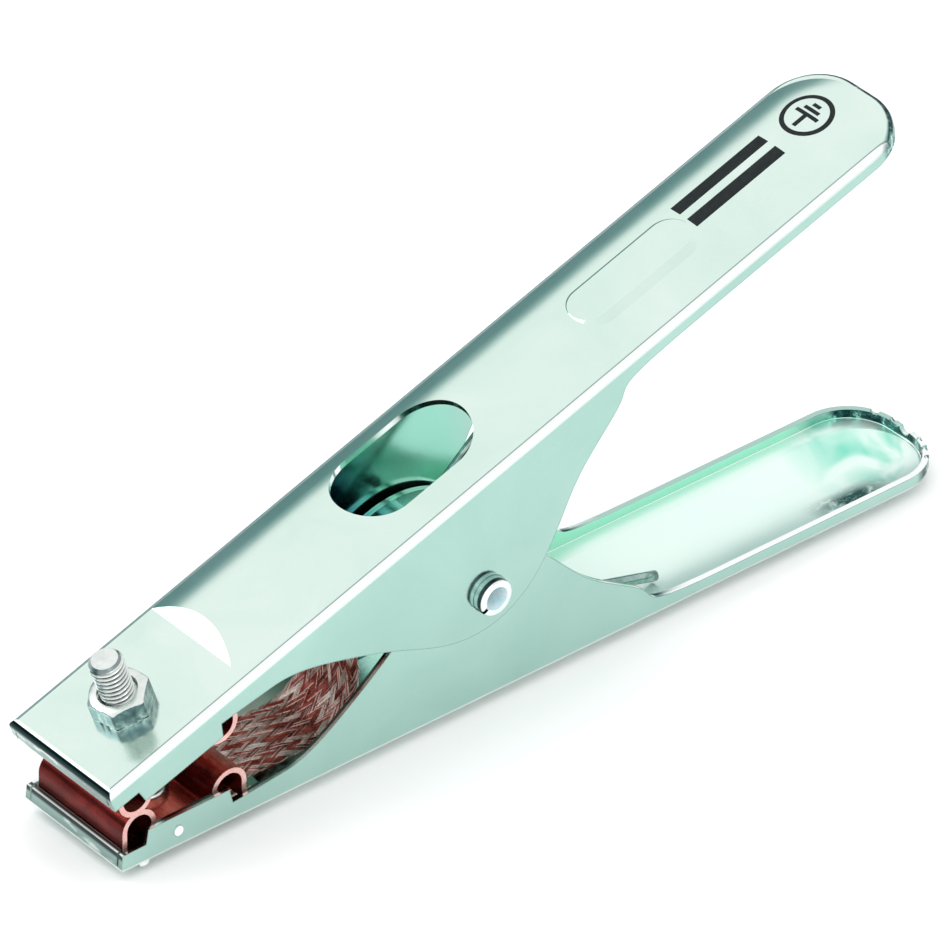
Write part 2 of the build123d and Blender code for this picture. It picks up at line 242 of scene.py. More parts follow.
class Plate(Nodes):
    """Bright zinc plate of one lever, with the distances and directions that its masks are made of."""

    def __init__(self, name, tilt, outward, half_width, lean):
        super().__init__(name)
        spine = (math.cos(tilt), 0.0, math.sin(tilt))
        self.tilt = tilt
        self.half_width = half_width
        self.lean = lean
        self.even = self.place()
        self.past_pivot = self.along(self.even, spine)
        self.height = self.along(self.even, outward)
        self.across = self.along(self.even, ACROSS)
        self.aside = self.math("ABSOLUTE", self.across)
        turned = self.along(self.surface(), ACROSS)
        sideways = self.math("ABSOLUTE", turned)
        self.forwards = self.along(self.surface(), spine)
        self.outwards = self.along(self.surface(), outward)
        self.clouds = self.noise(self.even, 38, 4, 0.55, 0.6)
        self.pits = self.noise(self.even, 2600, 2, 0.6)
        self.blotches = self.noise(self.even, 330, 4, 0.7, 0.4)
        self.sideways = sideways
        self.side_wall = self.step(sideways, 0.8, 0.95)
        self.below_web = self.step(self.height, 0.0270, WALL_START)
        self.facing_in = self.every(
            self.side_wall, self.step(self.math("MULTIPLY", self.across, turned), 0.0, -0.004))
        self.inner_wall = self.every(self.facing_in, self.step(self.past_pivot, HANDLE_START, 0.020))
        self.handle_inside = self.every(
            self.step(self.outwards, -0.3, -0.7), self.step(self.height, 0.0275, WEB_INSIDE),
            self.step(self.past_pivot, HANDLE_START, 0.040))

    def sheet(self):
        """Pale webs and walls painted greener as painted shade, with small dull specks; the walls' insides
        carry painted shade that darkens towards the spring, and painted light by the strap window.
        """
        pale = self.ramp(self.clouds, ((0.30, (0.69, 0.87, 0.79)), (0.70, (0.79, 0.92, 0.86))))
        green = self.ramp(self.clouds, ((0.30, (0.37, 0.57, 0.51)), (0.70, (0.42, 0.62, 0.56))))
        # Painted shade: surfaces that face sideways, the walls, get the greener, darker tone.
        tone = self.mix(self.step(self.sideways, 0.35, 0.95), pale, green)
        # Painted light and shade on the walls' insides: pale by the strap window, dark teal near the pivot,
        # green past it.
        shade = self.ramp(self.step(self.past_pivot, -0.050, 0.004), (
            (0.0, (0.90, 1.0, 0.95)), (0.44, (0.80, 1.0, 0.90)), (0.54, (0.04, 0.24, 0.30)),
            (0.72, (0.015, 0.13, 0.22)), (0.86, (0.12, 0.52, 0.45)), (1.0, (0.31, 0.66, 0.54))))
        tone = self.mix(self.inner_wall, tone, shade)
        speck = self.ramp(self.pits, ((0.30, (0.90, 0.92, 0.92)), (0.42, (1, 1, 1))))
        return self.mix(0.55, tone, speck, "MULTIPLY")

    def folds(self, tone):
        """Folds painted nearly white as painted highlight, beside a crease painted dark as painted shade."""
        # Painted highlight along the folds.
        fold = self.every(self.step(self.aside, self.half_width - 0.0017, self.half_width - 0.0013),
                          self.step(self.height, 0.0284, 0.0290))
        tone = self.mix(fold, tone, (0.98, 1.0, 0.99))
        # Painted shade in the crease.
        crease = self.math("COMPARE", self.aside, self.half_width - CREASE_IN, 0.00016)
        return self.mix(self.every(crease, self.step(self.height, WEB_INNER, 0.0292)), tone, (0.30, 0.40, 0.40))

    def wall_edges(self, tone):
        """Cut edges with painted shade on their inner half and a painted highlight on their outer half, a rim
        round the handle painted bright on the near side as painted highlight, and a thin dark outline of
        painted shade.
        """
        cut = self.every(self.step(self.sideways, 0.4, 0.3), self.step(self.aside, 0.0142, 0.0145),
                         self.below_web, self.step(self.past_pivot, 0.062, 0.052))
        wall_face = self.math("MULTIPLY_ADD", self.height, self.lean, self.half_width - WEB_FACE * self.lean)
        into_wall = self.math("SUBTRACT", wall_face, self.aside)
        # Painted shade on the cut edges' inner half, painted highlight on their outer half.
        cut_edge_light_and_shade = self.mix(self.step(into_wall, 0.0009, 0.0005), (0.10, 0.16, 0.15), (0.85, 0.92, 0.90))
        tone = self.mix(cut, tone, cut_edge_light_and_shade)
        # Painted highlight on the handle's rim: nearly white on the near side, grey on the far side.
        rim = self.every(self.step(self.outwards, -0.6, -0.8), self.step(self.height, 0.0275, 0.0270),
                         self.step(self.past_pivot, 0.052, 0.062))
        tone = self.mix(rim, tone, self.mix(self.step(self.across, -0.006, 0.002), GLINT, (0.42, 0.62, 0.56)))
        # Painted shade: a thin dark line along the walls' sharp edges.
        outline = self.every(self.edges(0.00040), self.side_wall, self.below_web)
        return self.mix(outline, tone, (0.14, 0.25, 0.23))

    def slot_rim(self, tone):
        """The cable slot's cut edge, painted bright towards the nose as painted highlight and dark towards the
        handle as painted shade.
        """
        low, high = SLOT_SPAN
        rim = self.every(self.step(self.outwards, 0.5, 0.4), self.step(self.height, 0.0282, 0.0286),
                         self.step(self.aside, SLOT_ASIDE, SLOT_ASIDE - 0.0005),
                         self.step(self.past_pivot, low, low + 0.0005),
                         self.step(self.past_pivot, high, high - 0.0005))
        # Painted highlight towards the nose, painted shade towards the handle.
        ends = self.mix(self.step(self.past_pivot, 0.006, 0.012), (0.98, 1.0, 1.0), (0.10, 0.17, 0.16))
        return self.mix(rim, tone, ends)

    def nose(self, tone, lip):
        """Streaked nose lip whose face tones are painted light and shade, with a painted highlight on its top
        edge behind a painted dark band, and the locating dimple painted bright as a painted highlight; also
        where the top edge and the dimple are.
        """
        streaks = self.noise(self.coordinates((1, 0.25, 1)), 420, 3, 0.6)
        front = self.every(self.step(self.forwards, -0.22, -0.40),
                           self.step(self.past_pivot, NOSE_START, -0.1026))
        mottled = self.every(self.step(streaks, 0.54, 0.66), self.step(self.height, WEB_INNER, WEB_INSIDE))
        # The lip's face takes the painted light and shade tones of its lip stops.
        face = self.ramp(self.step(self.height, WEB_FACE, 0.0250), lip)
        tone = self.mix(front, tone, self.mix(mottled, face, (0.66, 0.78, 0.74)))
        # Painted highlight at the lip's front edge, with a painted dark band behind it.
        top = self.every(self.step(self.outwards, -0.7, -0.9), self.step(self.past_pivot, NOSE_START, -0.1024),
                         self.step(self.height, 0.0268, 0.0262))
        edge = self.mix(self.step(self.past_pivot, -0.1034, -0.1030), (0.80, 0.88, 0.86), (0.02, 0.03, 0.03))
        tone = self.mix(top, tone, edge)
        # Painted highlight: the locating dimple is painted nearly white.
        dimple = self.step(self.off_axis(tuple(lower_point(16, 0, 5)), ACROSS), 0.00128, 0.00118)
        return self.mix(dimple, tone, GLINT), self.math("MAXIMUM", top, dimple)

    def handle(self, tone):
        """Gathered skirt at the handle's end with dark mottled painted reflection, and an inside painted pale
        as painted light, with green clouds, its walls painted green as painted reflection and one dark patch of
        painted reflection.
        """
        skirt = self.every(self.step(self.math("ABSOLUTE", self.forwards), 0.20, 0.40),
                           self.step(self.past_pivot, GATHER_START, 0.129),
                           self.step(self.height, WEB_FACE, 0.0299))
        # Painted reflection: dark mottling on the gathered skirt.
        skirt_reflection = self.ramp(self.blotches, (
            (0.40, (0.008, 0.030, 0.034)), (0.54, (0.04, 0.12, 0.12)), (0.62, (0.30, 0.55, 0.49)),
            (0.70, (0.75, 0.88, 0.84))))
        tone = self.mix(skirt, tone, skirt_reflection)
        # Painted light: the handle's inside is painted pale.
        tone = self.mix(self.handle_inside, tone, (0.80, 0.95, 0.89))
        # Painted reflection: the handle's inner walls are painted green.
        painted_wall_reflection = self.every(self.facing_in, self.step(self.past_pivot, HANDLE_START, 0.040),
                          self.step(self.past_pivot, 0.128, 0.118))
        tone = self.mix(painted_wall_reflection, tone, (0.40, 0.86, 0.66))
        swirl = self.noise(self.even, 90, 2, 0.5, 0.8)
        tinted = self.every(self.handle_inside, self.step(self.past_pivot, 0.112, 0.128),
                            self.step(swirl, 0.40, 0.66))
        tone = self.mix(tinted, tone, (0.22, 0.72, 0.55))
        # Painted reflection: one dark patch inside the handle.
        dark_reflection_patch = self.every(self.handle_inside, self.step(self.past_pivot, 0.104, 0.114),
                           self.step(self.past_pivot, 0.128, 0.120), self.step(self.across, -0.0050, -0.0090),
                           self.step(self.blotches, 0.35, 0.50))
        return self.mix(dark_reflection_patch, tone, (0.02, 0.10, 0.09))

    def relief(self):
        """Slow waves under brushing along the lever, and fine pits."""
        grain = self.noise(self.coordinates((0.12, 1, 1), self.tilt), 1500, 3, 0.6)
        waves = self.noise(self.even, 55, 1, 0.4)
        soft = self.bump(waves, 0.00035, 0.35)
        brushed = self.bump(grain, 0.000012, 0.35, soft)
        return self.bump(self.pits, 0.000010, 0.40, brushed)


def zinc(name, tilt, outward, half_width, lean, lip):
    """Zinc plate of the lever that is turned by a tilt; lip holds the nose lip's painted light and shade tones
    from the web down.
    """
    plate = Plate(name, tilt, outward, half_width, lean)
    tone = plate.slot_rim(plate.wall_edges(plate.folds(plate.sheet())))
    tone, worn = plate.nose(tone, lip)
    tone = plate.handle(tone)
    # worn holds the lip top and the dimple, which carry painted highlights, not wear; metallic is turned off
    # there and partly on the painted insides, so their painted tones show.
    by_strap = plate.every(plate.inner_wall, plate.step(plate.past_pivot, -0.020, -0.028))
    chalky = plate.math("MAXIMUM", worn, plate.math("MAXIMUM", plate.math("MULTIPLY", by_strap, 0.7),
                                                    plate.math("MULTIPLY", plate.handle_inside, 0.3)))
    plate.link(plate.math("SUBTRACT", 1.0, chalky), plate.shader.inputs["Metallic"])
    polish = plate.span(plate.clouds, 0.11, 0.18)
    dull = plate.math("MULTIPLY", plate.handle_inside, 0.16)
    return plate.finish(tone, plate.math("ADD", polish, dull), plate.relief())


def copper(name):
    """Formed copper strip: red brown, with faces towards the front painted darker as painted shade, drawn
    streaks, stains and pale pink cut ends.
    """
    n = Nodes(name)
    even = n.place()
    streaks = n.noise(n.coordinates((1, 0.06, 1)), 1400, 3, 0.6)
    stains = n.noise(even, 120, 5, 0.6, 0.8)
    pits = n.noise(even, 2400, 2, 0.6)
    skin = n.ramp(stains, ((0.28, (0.28, 0.030, 0.020)), (0.5, (0.46, 0.075, 0.050)),
                           (0.72, (0.68, 0.19, 0.135))))
    # Painted shade: faces that look towards the front are painted darker.
    front = n.step(n.along(n.surface(), (1.0, 0.0, 0.0)), -0.30, -0.75)
    front_shade = n.ramp(stains, ((0.3, (0.055, 0.003, 0.003)), (0.7, (0.19, 0.018, 0.014))))
    skin = n.mix(front, skin, front_shade)
    lines = n.ramp(streaks, ((0.32, (0.72, 0.68, 0.66)), (0.6, (1, 1, 1))))
    streaked = n.mix(0.4, skin, lines, "MULTIPLY")
    cut_end = n.ramp(stains, ((0.3, (0.74, 0.38, 0.34)), (0.7, (0.90, 0.58, 0.54))))
    sideways = n.math("ABSOLUTE", n.along(n.surface(), ACROSS))
    colour = n.mix(n.step(sideways, 0.80, 0.97), streaked, cut_end)
    rolled = n.bump(streaks, 0.00002, 0.5)
    normal = n.bump(pits, 0.000012, 0.5, rolled)
    return n.finish(colour, n.span(streaks, 0.20, 0.34), normal, Metallic=0.75, Specular_IOR_Level=0.2)


def strand(name, dark, light, rough):
    """Fine drawn wire of the bonding strap."""
    n = Nodes(name)
    even = n.coordinates()
    patches = n.noise(even, 330, 3, 0.6)
    fine = n.noise(even, 5200, 2, 0.6)
    colour = n.ramp(patches, ((0.32, dark), (0.66, light)))
    normal = n.bump(fine, 0.00001, 0.5)
    return n.finish(colour, n.span(patches, *rough), normal, Metallic=1.0)


def fastener(name, tone=((0.62, 0.68, 0.67), (0.78, 0.84, 0.82)), rough=(0.16, 0.30)):
    """Plated screw steel with tool marks."""
    n = Nodes(name)
    even = n.coordinates()
    clouds = n.noise(even, 240, 4, 0.6, 0.5)
    marks = n.noise(n.coordinates((1, 1, 0.1)), 2200, 3, 0.65)
    pits = n.noise(even, 3600, 2, 0.6)
    colour = n.ramp(clouds, ((0.3, tone[0]), (0.65, tone[1])))
    cut = n.bump(marks, 0.00002, 0.4)
    normal = n.bump(pits, 0.00001, 0.4, cut)
    return n.finish(colour, n.span(clouds, *rough), normal, Metallic=1.0)


def stud_steel(name, origin, axis, tip):
    """Plated screw: bright crests and tip, with painted shade on the grey tip bevel, in the dark thread grooves
    and on the dull hexagon sides.
    """
    n = Nodes(name)
    even = n.place()
    clouds = n.noise(even, 240, 4, 0.6, 0.5)
    marks = n.noise(n.coordinates((1, 1, 0.1)), 2200, 3, 0.65)
    pits = n.noise(even, 3600, 2, 0.6)
    bright = n.ramp(clouds, ((0.3, (0.70, 0.75, 0.73)), (0.65, (0.86, 0.90, 0.87))))
    flank = n.math("ABSOLUTE", n.along(n.surface(), axis))
    radius = n.off_axis(origin, axis)
    # Painted shade: the hexagon's sides are painted dark.
    sides = n.every(n.step(flank, 0.75, 0.5), n.step(radius, 0.0045, 0.0048))
    dull = n.ramp(clouds, (
        (0.3, (0.045, 0.085, 0.10)), (0.5, (0.12, 0.19, 0.20)), (0.68, (0.40, 0.50, 0.49))))
    base = sum(o * a for o, a in zip(origin, axis))
    end = base + tip
    height = n.along(even, axis)
    # Painted shade in the thread's grooves.
    groove_shade = n.every(n.step(radius, 0.00388, 0.00350), n.step(height, end, end - 0.0004))
    colour = n.mix(sides, bright, dull)
    colour = n.mix(groove_shade, colour, (0.035, 0.050, 0.052))
    # Painted shade on the tip's chamfer.
    bevel = n.every(n.step(flank, 0.92, 0.85), n.step(height, end, end + 0.0001))
    colour = n.mix(bevel, colour, (0.24, 0.30, 0.30))
    cut = n.bump(marks, 0.00002, 0.4)
    normal = n.bump(pits, 0.00001, 0.4, cut)
    return n.finish(colour, n.span(clouds, 0.16, 0.30), normal, Metallic=1.0)


END_BAND = (0.01905, 0.01935)        # where the tube's painted dark band of shade starts, from the clamp's middle
BORE_RIM = (0.0031, 0.00335)         # radii between which the bore gives way to the outside


def sleeve_metal(name):
    """Rolled tube: pale outside with a dark band of painted shade by its bright turned end, and a bore painted
    pale as painted light.
    """
    n = Nodes(name)
    radius = n.off_axis((0.0, 0.0, 0.0), ACROSS)
    sideways = n.math("ABSOLUTE", n.along(n.surface(), ACROSS))
    clouds = n.noise(n.place(), 300, 4, 0.6, 0.5)
    marks = n.noise(n.coordinates((1, 0.1, 1)), 2200, 3, 0.65)
    end = n.ramp(clouds, ((0.3, (0.74, 0.80, 0.79)), (0.65, (0.92, 0.95, 0.94))))
    # Painted shade: a dark band by the turned end.
    dark = n.ramp(clouds, ((0.38, (0.015, 0.022, 0.024)), (0.62, (0.10, 0.15, 0.16))))
    pale = n.ramp(clouds, ((0.3, (0.50, 0.66, 0.66)), (0.65, (0.78, 0.88, 0.87))))
    aside = n.math("ABSOLUTE", n.along(n.place(), ACROSS))
    barrel = n.mix(n.step(aside, *END_BAND), pale, dark)
    # Painted light: the bore is painted pale and made non-metallic, so its inside shows bright.
    bore = n.ramp(clouds, ((0.3, (0.60, 0.90, 0.96)), (0.65, (0.93, 0.99, 1.0))))
    colour = n.mix(n.step(sideways, 0.55, 0.3), end, barrel)
    outside = n.step(radius, *BORE_RIM)
    colour = n.mix(outside, bore, colour)
    n.link(outside, n.shader.inputs["Metallic"])
    return n.finish(colour, n.span(clouds, 0.16, 0.30), n.bump(marks, 0.00002, 0.4))


def paint(name):
    """Flat black printed ink, a little worn."""
    n = Nodes(name)
    even = n.coordinates()
    wear = n.noise(even, 900, 4, 0.7)
    film = n.noise(even, 2600, 2, 0.5)
    colour = n.ramp(wear, ((0.30, (0.004, 0.007, 0.008)), (0.75, (0.012, 0.017, 0.018))))
    return n.finish(colour, n.span(film, 0.50, 0.62), n.bump(film, 0.00001, 0.3), Metallic=0.0,
                    Specular_IOR_Level=0.22)


def floor_material(name):
    """Plain pale floor, hardly clouded."""
    n = Nodes(name)
    even = n.coordinates()
    cloud = n.noise(even, 3, 2, 0.5)
    colour = n.ramp(cloud, ((0.3, (0.90, 0.905, 0.905)), (0.7, (0.93, 0.935, 0.935))))
    return n.finish(colour, n.span(cloud, 0.55, 0.65), None, Metallic=0.0)


UPPER_OUTWARD = (-math.sin(CLOSED), 0.0, math.cos(CLOSED))
LOWER_OUTWARD = (0.0, 0.0, -1.0)
UPPER_HALF = 0.0180                  # half the width over the folds
LOWER_HALF = 0.0173
LOWER_LEAN = math.tan(math.radians(3.4))   # the nested lever's walls lean inwards
# Nose lip tones from the web down, all painted light and shade: a painted highlight at the top, then painted
# dark reflection and mid tones.
UPPER_LIP_PAINTED_LIGHT = ((0.0, (0.90, 0.97, 0.94)), (0.015, (0.90, 0.97, 0.94)), (0.04, (0.008, 0.025, 0.025)),
             (0.32, (0.010, 0.030, 0.030)), (0.46, (0.20, 0.32, 0.29)))
LOWER_LIP_PAINTED_LIGHT = ((0.0, (0.95, 1.0, 0.98)), (0.26, (0.95, 1.0, 0.98)), (0.33, (0.22, 0.33, 0.30)),
             (0.72, (0.30, 0.42, 0.39)), (0.86, (0.03, 0.05, 0.05)))
LOWER_ZINC = zinc("zinc_lower", 0.0, LOWER_OUTWARD, LOWER_HALF, LOWER_LEAN, LOWER_LIP_PAINTED_LIGHT)
UPPER_ZINC = zinc("zinc_upper", CLOSED, UPPER_OUTWARD, UPPER_HALF, 0.0, UPPER_LIP_PAINTED_LIGHT)
COPPER = copper("copper_strip")
BARE_STRAND = strand("bare_strand", (0.22, 0.030, 0.024), (0.60, 0.17, 0.13), (0.24, 0.42))
TINNED_STRAND = strand("tinned_strand", (0.72, 0.52, 0.46), (0.97, 0.90, 0.84), (0.20, 0.38))
BRIGHT = fastener("bright_fastener")
FASTENER_X = 19.3                    # mm from the nose to the screw's axis
STUD = stud_steel("stud_steel", tuple(upper_point(FASTENER_X, 0, 0)), UPPER_OUTWARD, 0.0146)
SLEEVE = sleeve_metal("sleeve_plate")
WIRE = fastener("spring_wire", ((0.16, 0.28, 0.26), (0.48, 0.62, 0.58)), (0.16, 0.28))
INK = paint("printed_ink")


# ---------------------------------------------------------------- mesh helpers


def make_object(name, vertices, faces, material):
    """Mesh object with one material, shaded smooth."""
    mesh = bpy.data.meshes.new(name)
    mesh.from_pydata([tuple(v) for v in vertices], [], faces)
    mesh.materials.append(material)
    mesh.validate()
    mesh.polygons.foreach_set("use_smooth", [True] * len(mesh.polygons))
    made = bpy.data.objects.new(name, mesh)
    bpy.context.scene.collection.objects.link(made)
    return made


def tube_mesh(path, radius, sides, up):
    """Vertices and faces of a closed tube along a list of points."""
    vertices = []
    faces = []
    count = len(path)
    normal = Vector(up)
    for index, point in enumerate(path):
        ahead = path[min(index + 1, count - 1)] - path[max(index - 1, 0)]
        tangent = ahead.normalized()
        normal = (normal - tangent * normal.dot(tangent)).normalized()
        side = tangent.cross(normal)
        for step in range(sides):
            angle = 2 * math.pi * step / sides
            vertices.append(point + radius * (math.cos(angle) * normal + math.sin(angle) * side))
    for ring in range(count - 1):
        for step in range(sides):
            a = ring * sides + step
            b = ring * sides + (step + 1) % sides
            faces.append((a, b, b + sides, a + sides))
    faces.append(tuple(range(sides - 1, -1, -1)))
    last = (count - 1) * sides
    faces.append(tuple(last + step for step in range(sides)))
    return vertices, faces


# ---------------------------------------------------------------- bonding strap

BRAID_START = (38.1, 2.9)            # middle line in x and z, in the lower lever's frame, mm
BRAID_CORNER = (75.8, 3.0)
BRAID_BEND = 13.0 * MM
BRAID_HALF_WIDTH = 8.75 * MM
BRAID_HALF_THICK = 1.0 * MM
CARRIERS = 24                        # bundles each way round
WIRES = 5                            # wires in a bundle
WIRE_RADIUS = 0.13 * MM
WIRE_SIDES = 4
STRAY = 0.05 * MM                    # how far a wire wanders off its line
BUNDLE_SHARE = 0.92                  # of the pitch that a bundle's wires fill
LAY_TURNS = 1.0                      # turns of a bundle round the flat strap along the loop
WEAVE_DEPTH = 0.17 * MM
BRAID_STEPS = 132


def mirrored(point):
    """The upper side's twin of a point of the lower side."""
    return Matrix.Rotation(-CLOSED, 3, "Y") @ Vector((point.x, point.y, -point.z))


def braid_line():
    """Function from 0..1 to the place and the outward normal of the strap's middle line."""
    start = lower_point(BRAID_START[0], 0, BRAID_START[1])
    corner = lower_point(BRAID_CORNER[0], 0, BRAID_CORNER[1])
    out = (corner - start).normalized()
    across = (mirrored(corner) - corner).normalized()
    turn = math.acos(out.dot(across))
    tangent = BRAID_BEND * math.tan(turn / 2)
    first = corner - out * tangent
    straight = (first - start).length
    bend = BRAID_BEND * turn
    middle = ((mirrored(corner) - corner).length - 2 * tangent) / 2
    half = straight + bend + middle
    inward = Vector((-out.z, 0, out.x))
    centre = first + inward * BRAID_BEND

    def at(t):
        """Place and normal at a share t of the loop's length."""
        s = t * 2 * half
        upper = s > half
        if upper:
            s = 2 * half - s
        if s < straight:
            place, normal = start + out * s, -inward
        elif s < straight + bend:
            angle = (s - straight) / BRAID_BEND
            normal = Matrix.Rotation(-angle, 3, "Y") @ (-inward)
            place = centre + normal * BRAID_BEND
        else:
            normal = Matrix.Rotation(-turn, 3, "Y") @ (-inward)
            place = corner + across * (tangent + s - straight - bend)
        if upper:
            return mirrored(place), mirrored(normal)
        return place, normal

    return at


def strap_section(phase):
    """Point and outward direction, across and through, at a share of the way round the flat tube."""
    flat = 2 * (BRAID_HALF_WIDTH - BRAID_HALF_THICK)
    arc = math.pi * BRAID_HALF_THICK
    travel = (phase % 1.0) * 2 * (flat + arc)
    side = 1
    if travel > flat + arc:
        side = -1
        travel -= flat + arc
    if travel < flat:
        return side * (flat / 2 - travel), side * BRAID_HALF_THICK, 0.0, side
    angle = (travel - flat) / BRAID_HALF_THICK
    across = -flat / 2 - BRAID_HALF_THICK * math.sin(angle)
    out_y, out_n = -side * math.sin(angle), side * math.cos(angle)
    return side * across, BRAID_HALF_THICK * out_n, out_y, out_n


def wire_path(at, direction, carrier, wire):
    """One wire of one bundle, woven two over and two under."""
    offset = (wire - (WIRES - 1) / 2) * BUNDLE_SHARE / WIRES / CARRIERS
    path = []
    for step in range(BRAID_STEPS + 1):
        t = step / BRAID_STEPS
        phase = carrier / CARRIERS + offset + direction * LAY_TURNS * t
        across, through, out_y, out_n = strap_section(phase)
        crossings = 2 * LAY_TURNS * t * CARRIERS
        weave = direction * math.cos(math.pi * (crossings / 2 * direction + carrier) - math.pi / 4)
        stray = STRAY * math.sin(37.0 * t + 2.3 * carrier + 1.7 * wire)
        lift = WEAVE_DEPTH * weave + stray
        place, normal = at(t)
        path.append(place + Vector((0, across + stray + out_y * lift, 0)) + normal * (through + out_n * lift))
    return path


def build_braid():
    """Woven wires of the bonding strap, bare and tinned ones in a piece each."""
    at = braid_line()
    groups = {BARE_STRAND: ([], []), TINNED_STRAND: ([], [])}
    dice = random.Random(7)
    for direction in (1, -1):
        for carrier in range(CARRIERS):
            share = dice.choice((0.25, 0.5, 0.85))
            for wire in range(WIRES):
                material = TINNED_STRAND if dice.random() < share else BARE_STRAND
                vertices, faces = groups[material]
                tube = tube_mesh(wire_path(at, direction, carrier, wire), WIRE_RADIUS, WIRE_SIDES, (0, 0, 1))
                base = len(vertices)
                vertices.extend(tube[0])
                faces.extend(tuple(i + base for i in face) for face in tube[1])
    straps = [make_object("braid_" + material.name, *mesh, material) for material, mesh in groups.items()]
    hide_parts("braid_loop")
    for strap in straps:
        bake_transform(strap)


build_braid()


# ---------------------------------------------------------------- torsion spring

WIRE_HALF = 1.3 * MM
COIL_RADIUS = 6.7 * MM
COIL_HALF = 6.0 * MM
LEG_ANGLE = math.radians(21.5)
LEG_BEND_X = 44.0 * MM
LEG_ROUNDING = 2.0 * MM
LEG_TIP = (60.0 * MM, 1.0 * MM - PIVOT.z)
FULL_TURNS = 4
TURN_POINTS = 46                     # points along one turn
SPRING_SIDES = 20


def spring_path():
    """Lower leg from its tip, the coil, then the upper leg to its tip."""
    leave = Vector((-COIL_RADIUS * math.sin(LEG_ANGLE), 0, -COIL_RADIUS * math.cos(LEG_ANGLE)))
    bend = Vector((LEG_BEND_X, 0, leave.z - (LEG_BEND_X - leave.x) * math.tan(LEG_ANGLE)))
    tip = Vector((LEG_TIP[0], 0, LEG_TIP[1]))
    leg = [tip.lerp(bend, t / 6) for t in range(6)]
    before = bend + (tip - bend).normalized() * LEG_ROUNDING
    after = bend + (leave - bend).normalized() * LEG_ROUNDING
    leg = [p for p in leg if (p - bend).length > LEG_ROUNDING]
    leg += [before.lerp(bend, t / 4).lerp(bend.lerp(after, t / 4), t / 4) for t in range(5)]
    leg += [after.lerp(leave, t / 8) for t in range(1, 8)]
    start = math.radians(270) - LEG_ANGLE
    sweep = 2 * start - CLOSED - math.radians(360) + math.radians(360) * FULL_TURNS
    steps = TURN_POINTS * (FULL_TURNS + 1)
    coil = []
    for step in range(steps + 1):
        t = step / steps
        angle = start - sweep * t
        y = COIL_HALF * (2 * t - 1)
        coil.append(Vector((COIL_RADIUS * math.cos(angle), y, COIL_RADIUS * math.sin(angle))))
    lower_leg = [p + Vector((0, -COIL_HALF, 0)) for p in leg]
    upper_leg = [mirrored(p) + Vector((0, COIL_HALF, 0)) for p in reversed(leg)]
    return lower_leg + coil + upper_leg


def build_spring():
    """Round wire of the torsion spring, bent between the levers."""
    vertices, faces = tube_mesh(spring_path(), WIRE_HALF, SPRING_SIDES, (0, 1, 0))
    spring = make_object("torsion_spring_wire", vertices, faces, WIRE)
    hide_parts("torsion_spring")
    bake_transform(spring)


build_spring()


# ---------------------------------------------------------------- bolt and nut

ACROSS_FLATS = 13.0 * MM
HEX_BEVEL = math.tan(math.radians(30))
NUT_HEIGHT = 5.0 * MM
NUT_TURN = math.radians(10)
HEAD_SEAT = 4.8 * MM                 # depth of the bolt head's seat under the web's outer face
HEAD_HEIGHT = 5.3 * MM
STUD_RADIUS = 4.0 * MM
THREAD_DEPTH = 0.62 * MM
THREAD_PITCH = 1.25 * MM
THREAD_ROWS = 9                      # rings in one pitch
CREST_SHARE = 0.12                   # of a pitch that is flat at the crest, and again at the root
STUD_TIP = NUT_HEIGHT + 10.6 * MM
TIP_CHAMFER = 0.9 * MM
SHANK_RADIUS = 3.6 * MM              # of the screw inside the nut and the web
NUT_BORE = 3.62 * MM
NUT_SINK = 4.75 * MM                 # radius of the nut's countersink
NUT_FLARE = 4.3 * MM                 # radius of its bore at the web
NUT_GAP = 0.02 * MM                  # between the nut and the web
EDGE_BREAK = 0.15 * MM
CORNER_FALL = 1.0 * MM               # height over which a hexagon's corners are turned off
TURN_STEPS = 96
CREASE_ANGLE = 32                    # degrees


def hexagon_radius(angle, turn):
    """Distance from the axis to a hexagon's side; two flats stand across x when it isn't turned."""
    sixth = math.pi / 3
    folded = (angle - turn + sixth / 2) % sixth - sixth / 2
    return ACROSS_FLATS / 2 / math.cos(folded)


def hexagon_levels(low, high, turn):
    """Rings of a hexagon whose corners are turned off at the high end, as (height, radius function)."""
    rim = ACROSS_FLATS / 2 - EDGE_BREAK
    levels = [(low, lambda a: min(hexagon_radius(a, turn), ACROSS_FLATS / 2))]
    levels.append((low + math.copysign(EDGE_BREAK, high - low), lambda a: hexagon_radius(a, turn)))
    for step in range(11):
        down = CORNER_FALL * (1 - step / 10)
        height = high - math.copysign(down, high - low)
        levels.append((height, lambda a, d=down: min(hexagon_radius(a, turn), rim + d / HEX_BEVEL)))
    return levels


def thread_levels(low, high):
    """Rings of a right-hand thread, closely spaced, ending in a chamfer."""
    rows = THREAD_ROWS * round((high - low) / THREAD_PITCH)
    levels = []
    for row in range(rows + 1):
        height = low + (high - low) * row / rows

        def radius(angle, h=height):
            share = (h / THREAD_PITCH - angle / (2 * math.pi)) % 1.0
            flank = min(1.0, max(0.0, (abs(2 * share - 1) - CREST_SHARE) / (1 - 2 * CREST_SHARE)))
            taper = max(0.0, h - (high - TIP_CHAMFER))
            return min(STUD_RADIUS - THREAD_DEPTH * flank, STUD_RADIUS - taper)

        levels.append((height, radius))
    return levels


